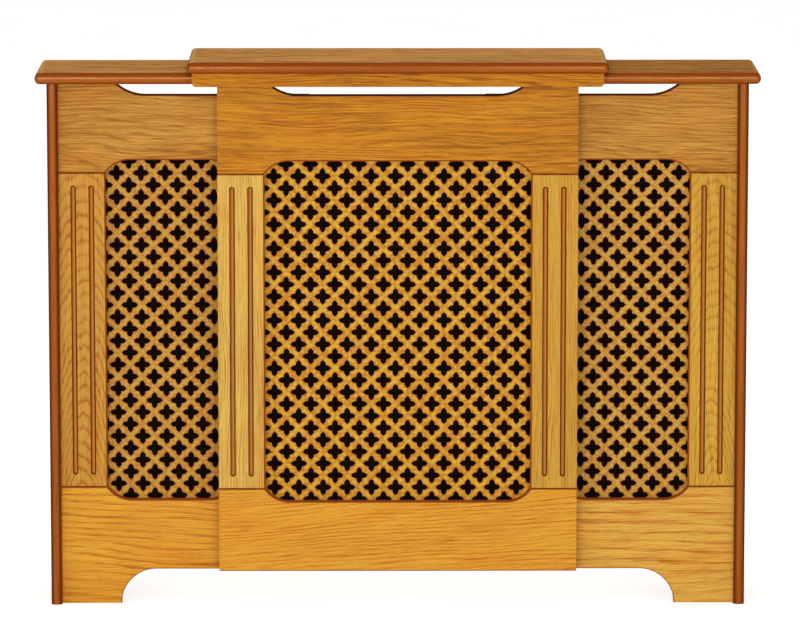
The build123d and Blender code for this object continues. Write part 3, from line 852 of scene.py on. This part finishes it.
# Painted light and shade over each piece's own tone: the top rails are darker and the bottom rails
# paler, as the light grows brighter towards the bottom. The end panels take the top rails' tones.
SHADED_TOP_LIGHT, SHADED_TOP_DARK = (210, 151, 60), (156, 96, 22)
SHADED_CENTRE_TOP_LIGHT, SHADED_CENTRE_TOP_DARK = (214, 142, 25), (155, 87, 7)
LIT_LOW_LIGHT, LIT_LOW_DARK = (230, 168, 50), (192, 112, 22)
LIT_PALE_LOW_LIGHT, LIT_PALE_LOW_DARK = (229, 179, 75), (188, 108, 27)
STILE_LIGHT, STILE_DARK = (217, 167, 57), (174, 109, 29)
LEFT_STILE_LIGHT = (210, 156, 62)
CENTRE_LEFT_STILE_LIGHT, CENTRE_RIGHT_STILE_LIGHT = (226, 184, 86), (212, 162, 58)
SHELF_LIGHT, SHELF_DARK = (222, 164, 86), (149, 90, 34)
RIGHT_SHELF_LIGHT, RIGHT_SHELF_DARK = (204, 141, 61), (125, 71, 21)
FASCIA_LIGHT, FASCIA_DARK = (210, 136, 10), (149, 77, 2)


def opening_outline(side):
    """Outline of a grille opening: its middle, corner centres, radius, plain side and bevel."""
    middle, half = OPENINGS[side]
    centres = (half - OPENING_RUN, 0, OPENING_HALF - OPENING_RADIUS)
    return (middle, 0, OPENING_MIDDLE), centres, OPENING_RADIUS, half, OPENING_BEVEL


def outlet_outline(side):
    """Outline of a warm air outlet, given as an opening's: its curves' centres lie above it."""
    middle, half, floor = OUTLETS[side]
    centre = (middle, 0, floor + OUTLET_RADIUS)
    return centre, (half, 0, 0), OUTLET_RADIUS, NO_SIDE, OUTLET_BEVEL


def plinth_outline(side):
    """Outline of the air inlet under a frame, given as an opening's."""
    middle, half = PLINTHS[side]
    return (middle, 0, 0), (half, 0, 0), PLINTH_HEIGHT, NO_SIDE, PLINTH_BEVEL


def middle_x(name):
    """Middle of a node across X."""
    low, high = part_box(name)
    return (low.x + high.x) / 2


def top_rail(side, start, light, dark, slope=0.03):
    """Rail of fine, level grain."""
    return oak(
        f"oak_{side}_top",
        "X",
        start,
        light,
        dark,
        rings=0.45,
        streaks=0.75,
        width=0.006,
        slope=slope,
        side=side,
        outlines=(opening_outline(side), outlet_outline(side)),
    )


def bottom_rail(side, start, width, tilt, slope=0.05, light=LIT_LOW_LIGHT, dark=LIT_LOW_DARK):
    """Rail of long, clear grain lines."""
    return oak(
        f"oak_{side}_bottom",
        "X",
        start,
        light,
        dark,
        rings=0.9,
        streaks=0.5,
        width=width,
        slope=slope,
        side=side,
        outlines=(opening_outline(side), plinth_outline(side)),
        tilt=tilt,
        sway=0.03,
    )


def upright_veneer(name, start, side=None, node=None, slope=0.1, light=STILE_LIGHT, rings=0.7):
    """Upright veneer, whose rings show as pointed arches: a plain panel, or a frame's stile.

    A node is given for a stile with flutes, which lie to both sides of its middle.
    """
    return oak(
        name,
        "Z",
        start,
        light,
        STILE_DARK,
        rings=rings,
        streaks=0.45,
        width=0.004,
        slope=slope,
        side=side,
        flutes=None if node is None else middle_x(node),
        outlines=() if side is None else (opening_outline(side),),
    )


def shelf(side, start, light=SHELF_LIGHT, dark=SHELF_DARK):
    """Shelf top, with rings wide enough to show at the low angle that it is seen from."""
    return oak(
        f"oak_{side}_shelf", "X", start, light, dark, rings=0.6, streaks=0.8, width=0.022
    )


# Finish of each veneered node. A start point picks the part of the figure that the board shows
finishes = {
    "centre_top_rail": top_rail("centre", (0.2, -0.95, 0.08), SHADED_CENTRE_TOP_LIGHT, SHADED_CENTRE_TOP_DARK),
    "left_top_rail": top_rail("left", (0.9, -0.72, 0.09), SHADED_TOP_LIGHT, SHADED_TOP_DARK, 0.08),
    "right_top_rail": top_rail("right", (0.1, -0.7, 0.1), SHADED_TOP_LIGHT, SHADED_TOP_DARK, 0.06),
    "centre_bottom_rail": bottom_rail("centre", (1.2, 0.12, 0.1), 0.006, 0.1, slope=0.08),
    "left_bottom_rail": bottom_rail("left", (0.6, 0.1, 0.1), 0.011, -0.03),
    "right_bottom_rail": bottom_rail(
        "right", (1.6, 0.2, 0.1), 0.014, 0.02, light=LIT_PALE_LOW_LIGHT, dark=LIT_PALE_LOW_DARK
    ),
    "centre_left_stile": upright_veneer(
        "oak_centre_left_stile",
        (0.4, 0.42, 0.1),
        "centre",
        "centre_left_stile",
        slope=0.03,
        light=CENTRE_LEFT_STILE_LIGHT,
    ),
    "centre_right_stile": upright_veneer(
        "oak_centre_right_stile",
        (0.9, -0.06, 0.1),
        "centre",
        "centre_right_stile",
        slope=0.03,
        light=CENTRE_RIGHT_STILE_LIGHT,
    ),
    "left_outer_stile": upright_veneer(
        "oak_left_stile",
        (0.2, 0.514, 0.02),
        "left",
        "left_outer_stile",
        slope=0.18,
        light=LEFT_STILE_LIGHT,
        rings=1.3,
    ),
    "right_outer_stile": upright_veneer(
        "oak_right_stile", (0.7, -0.52, -0.095), "right", "right_outer_stile", 0.2, rings=0.75
    ),
    "left_inner_stile": upright_veneer("oak_left_inner_stile", (1.3, 0.3, 0.1), "left"),
    "right_inner_stile": upright_veneer("oak_right_inner_stile", (1.8, -0.3, 0.1), "right"),
    "left_end_panel": upright_veneer("oak_left_panel", (0.1, 0.0, 0.6), light=SHADED_TOP_LIGHT),
    "right_end_panel": upright_veneer("oak_right_panel", (0.5, 0.03, -0.5), light=SHADED_TOP_LIGHT),
    "centre_fascia": oak(
        "oak_fascia",
        "X",
        (0.7, -0.86, 0.11),
        FASCIA_LIGHT,
        FASCIA_DARK,
        rings=0.7,
        streaks=0.7,
        width=0.004,
    ),
    "centre_shelf": shelf("centre", (0.3, 0.3, -0.8)),
    "left_shelf": shelf("left", (1.3, 0.2, -0.8)),
    "right_shelf": shelf("right", (2.3, 0.2, -0.8), RIGHT_SHELF_LIGHT, RIGHT_SHELF_DARK),
}
lipping_along_x = lipping("stained_lipping_front", "X", (0.4, 0.3, 0.2))
lipping_along_y = lipping("stained_lipping_end", "Y", (0.2, 0.3, 0.4), LIP_VENEER)
lipping_right_end = lipping("stained_lipping_right_end", "Y", (0.7, 0.3, 0.4), RIGHT_LIP_VENEER)
lipping_upright = lipping("stained_lipping_upright", "Z", (0.6, 0.2, 0.3), upright=True)
softwood_level = softwood("softwood_level", "X", (0.3, 0.4, 0.1))
softwood_deep = softwood("softwood_deep", "Y", (0.3, 0.4, 0.1))
softwood_upright = softwood("softwood_upright", "Z", (0.3, 0.4, 0.1))
zinc_finish = zinc("zinc_steel")
felt_finish = felt("felt")

front_strip("centre_shelf_front_lipping", "centre", (-1, 1), lipping_along_x)
end_strip("centre_shelf_left_lipping", "centre", -1, lipping_along_y)
end_strip("centre_shelf_right_lipping", "centre", 1, lipping_along_y)
for side, end, end_finish in (("left", -1, lipping_along_y), ("right", 1, lipping_right_end)):
    front_strip(f"{side}_shelf_front_lipping", side, (end,), lipping_along_x)
    end_strip(f"{side}_shelf_end_lipping", side, end, end_finish)
    upright_strip(f"{side}_end_panel_lipping", side, lipping_upright)

finish_by_ending = {  # of the other nodes that stay, by the ends of their names
    "felt_strip": felt_finish,
    "guide_bar": softwood_level,
    "spacer_block": softwood_level,
    "corner_batten": softwood_upright,
    "shelf_cleat": softwood_deep,
    "wall_bracket": zinc_finish,
    "tie_plate": zinc_finish,
    "screws": zinc_finish,
}
for name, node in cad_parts.items():
    material = finishes.get(name)
    for ending, finish in finish_by_ending.items():
        if name.endswith(ending):
            material = finish
    if material is not None:
        node.data.materials.clear()
        node.data.materials.append(material)

# ---- Floor, light and camera ----

FLOOR_HALF = 40.0
FLOOR_DARK, FLOOR_PALE = stain(240, 240, 240), stain(244, 244, 244)
FLOOR_MIRRORED = stain(120, 120, 120)  # what lacquer mirrors of it
FLOOR_GLOW = 0.53  # for the camera alone, so that no horizon shows


def make_floor():
    """Plain pale floor, with the faint unevenness of paint."""
    material, tree, place = start_material("floor_paint")
    shade = noise(tree, place, scale=3, detail=2)
    colour = mix(tree, shade, FLOOR_DARK, FLOOR_PALE)
    path = put(tree, "LightPath").outputs
    lift = calc(tree, "MULTIPLY", path["Is Camera Ray"], FLOOR_GLOW)
    colour = mix(tree, path["Is Glossy Ray"], colour, FLOOR_MIRRORED)
    sockets = {
        "Base Color": colour,
        "Roughness": 0.8,
        "Specular IOR Level": 0.2,
        "Emission Color": (1, 1, 1, 1),
        "Emission Strength": lift,
    }
    end_material(tree, sockets)
    mesh = bpy.data.meshes.new("floor")
    reach = FLOOR_HALF
    corners = [(-reach, -reach, 0), (reach, -reach, 0), (reach, reach, 0), (-reach, reach, 0)]
    mesh.from_pydata(corners, [], [(0, 1, 2, 3)])
    mesh.materials.append(material)
    floor = bpy.data.objects.new("floor", mesh)
    bpy.context.scene.collection.objects.link(floor)


def softbox(name, place, aim, width, height, power, mirrored=True):
    """Rectangular soft light at a place, turned to a point. Gloss mirrors it, or doesn't."""
    lamp = bpy.data.lights.new(name, "AREA")
    lamp.shape = "RECTANGLE"
    lamp.size = width
    lamp.size_y = height
    lamp.energy = power
    light = bpy.data.objects.new(name, lamp)
    way = np.array(aim) - np.array(place)
    tilt = atan2(sqrt(way[0] ** 2 + way[1] ** 2), -way[2])
    light.visible_camera = False
    light.visible_glossy = mirrored
    light.location = place
    light.rotation_euler = (tilt, 0, atan2(-way[0], way[1]))
    bpy.context.scene.collection.objects.link(light)


SKY_SEEN = 1.0  # brightness of the surroundings as the camera sees them
SKY_LIGHT = 0.55  # and as they light the object
SKY_GLOSS = 0.04  # and as they are reflected


def make_sky():
    """Even pale surroundings: seen as near white, and lighting the object more softly."""
    world = bpy.data.worlds.new("studio")
    bpy.context.scene.world = world
    world.use_nodes = True
    tree = world.node_tree
    tree.nodes.clear()
    path = put(tree, "LightPath").outputs
    strength = calc(tree, "MULTIPLY_ADD", path["Is Camera Ray"], SKY_SEEN - SKY_LIGHT, SKY_LIGHT)
    strength = calc(tree, "MULTIPLY_ADD", path["Is Glossy Ray"], SKY_GLOSS - SKY_LIGHT, strength)
    glow = put(tree, "Background", {"Color": (1, 1, 1, 1), "Strength": strength})
    finish = tree.nodes.new("ShaderNodeOutputWorld")
    tree.links.new(glow.outputs[0], finish.inputs[0])


CAMERA_PLACE = (-0.032, -9.0, 1.9046)
CAMERA_PITCH = 9.08  # degrees below level
CAMERA_YAW = 0.228  # degrees to the right of straight on
CAMERA_LENS, SENSOR_WIDTH = 249.4, 36.0  # millimetres
VIEW_DEPTH = 200.0


def make_camera():
    """Camera above and before the cabinet, tilted down so that it needs no lens shift."""
    lens = bpy.data.cameras.new("camera")
    lens.lens = CAMERA_LENS
    lens.sensor_width = SENSOR_WIDTH
    lens.clip_end = VIEW_DEPTH
    camera = bpy.data.objects.new("camera", lens)
    camera.location = CAMERA_PLACE
    camera.rotation_euler = (radians(90 - CAMERA_PITCH), 0, radians(-CAMERA_YAW))
    bpy.context.scene.collection.objects.link(camera)
    bpy.context.scene.camera = camera


CABINET_MIDDLE = (0, 0, 0.45)

make_floor()
make_sky()
softbox("key_left", (-1.7, -4.6, 1.35), CABINET_MIDDLE, 2.5, 1.3, power=56)
softbox("key_right", (1.7, -4.6, 1.35), CABINET_MIDDLE, 2.3, 1.3, power=44)
softbox("side", (-3.4, -2.2, 1.4), CABINET_MIDDLE, 0.5, 1.6, power=12)
softbox("over", (0.0, 0.2, 3.2), CABINET_MIDDLE, 2.4, 1.4, power=30, mirrored=False)
make_camera()
bpy.context.scene.view_settings.view_transform = "Standard"
